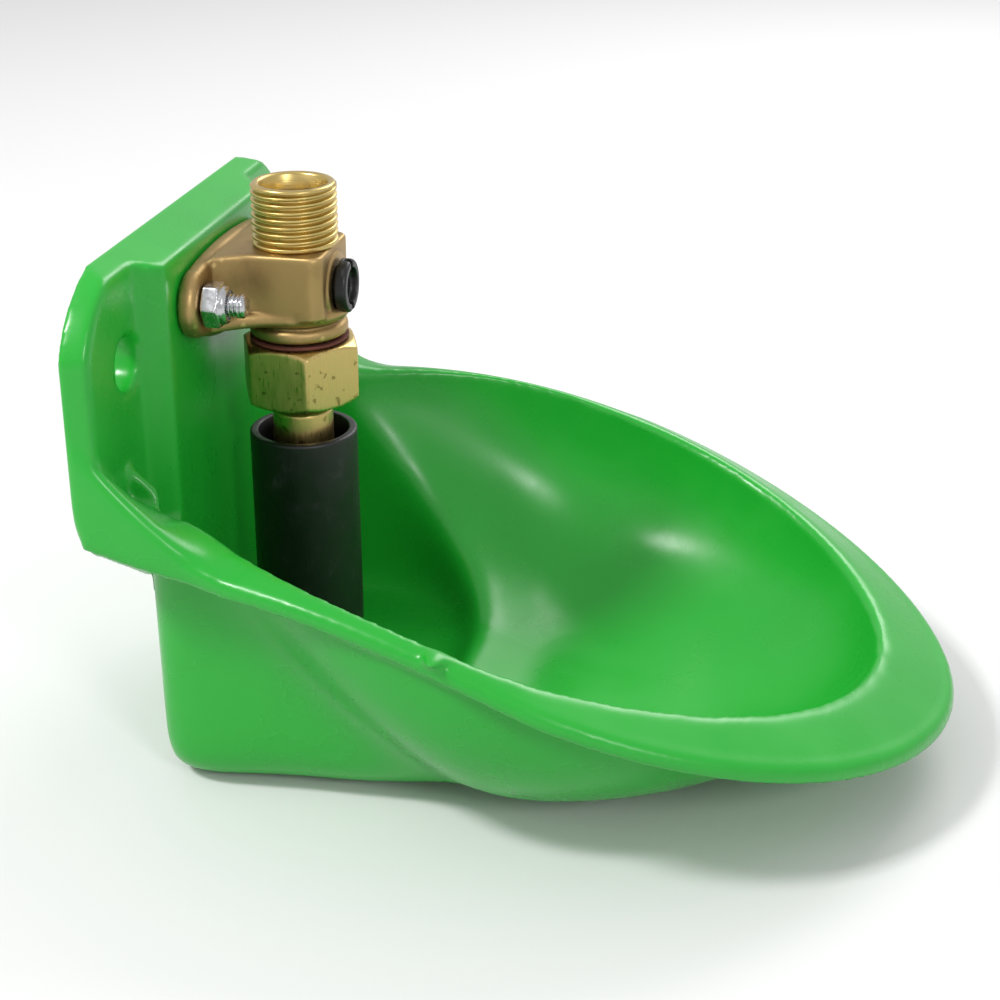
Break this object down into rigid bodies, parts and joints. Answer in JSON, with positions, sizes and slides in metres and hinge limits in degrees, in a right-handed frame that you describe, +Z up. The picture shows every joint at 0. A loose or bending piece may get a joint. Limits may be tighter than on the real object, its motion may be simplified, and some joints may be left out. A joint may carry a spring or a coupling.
{
  "type": "animal drinking bowl with tube valve",
  "caption": "Wall-mounted green plastic drinking bowl with a brass valve that lets water down a hanging black tube when an animal tilts it.",
  "frame": {"origin": "middle of the object's plan box, on the flat bottom of the bowl", "axes": "+Z up along the valve's inlet, +Y towards the wall behind the back plate, +X across the bowl"},
  "size_m": [0.1745, 0.2, 0.138],
  "materials": {
    "green_plastic": "satin injection-moulded",
    "cast_brass": "tumbled casting with machined faces",
    "turned_brass": "drawn and turned, spotted with tarnish",
    "black_plastic": "extruded, lightly scuffed",
    "zinc_steel": "zinc plated",
    "spring_steel": "drawn stainless wire",
    "seal_rubber": "moulded rubber",
    "fibre_gasket": "pressed fibre",
    "nylon": "moulded nylon"
  },
  "bodies": {
    "frame": {"bowl": "green_plastic", "valve_body": "cast_brass", "union_gasket": "fibre_gasket", "union_nut": "turned_brass", "seat_seal": "seal_rubber", "return_spring": "spring_steel", "bolt_left": "zinc_steel", "bolt_right": "zinc_steel", "washer_left": "zinc_steel", "washer_right": "zinc_steel", "lock_nut_left": "zinc_steel", "lock_nut_right": "zinc_steel", "lock_insert_left": "nylon", "lock_insert_right": "nylon"},
    "spring_seat": {"spring_cup": "black_plastic"},
    "stem": {"valve_stem": "turned_brass", "drinker_tube": "black_plastic", "tube_hub": "black_plastic", "hub_clip": "spring_steel"},
    "screw_carrier": {"regulator_ring": "seal_rubber"},
    "screw": {"regulating_screw": "black_plastic"}
  },
  "joints": [
    {"name": "tilt_side", "type": "hinge", "parent": "frame", "child": "spring_seat", "pos_m": [0, 0.067, 0.092], "axis": [0, 1, 0], "range_deg": [-8, 8], "stiffness_Nm_per_rad": 0.6},
    {"name": "tilt_front", "type": "hinge", "parent": "spring_seat", "child": "stem", "pos_m": [0, 0.067, 0.092], "axis": [1, 0, 0], "range_deg": [-9, 4], "stiffness_Nm_per_rad": 0.6},
    {"name": "screw_travel", "type": "slide", "parent": "frame", "child": "screw_carrier", "axis": [0, -1, 0], "range_m": [-0.00038, 0.0015]},
    {"name": "screw_turn", "type": "hinge", "parent": "screw_carrier", "child": "screw", "pos_m": [0, 0.056, 0.1126], "axis": [0, -1, 0], "range_deg": [-90, 360]}
  ],
  "couplings": [
    {"joint": "screw_turn", "follows": "screw_travel", "rad_per_m": 4188.8}
  ]
}
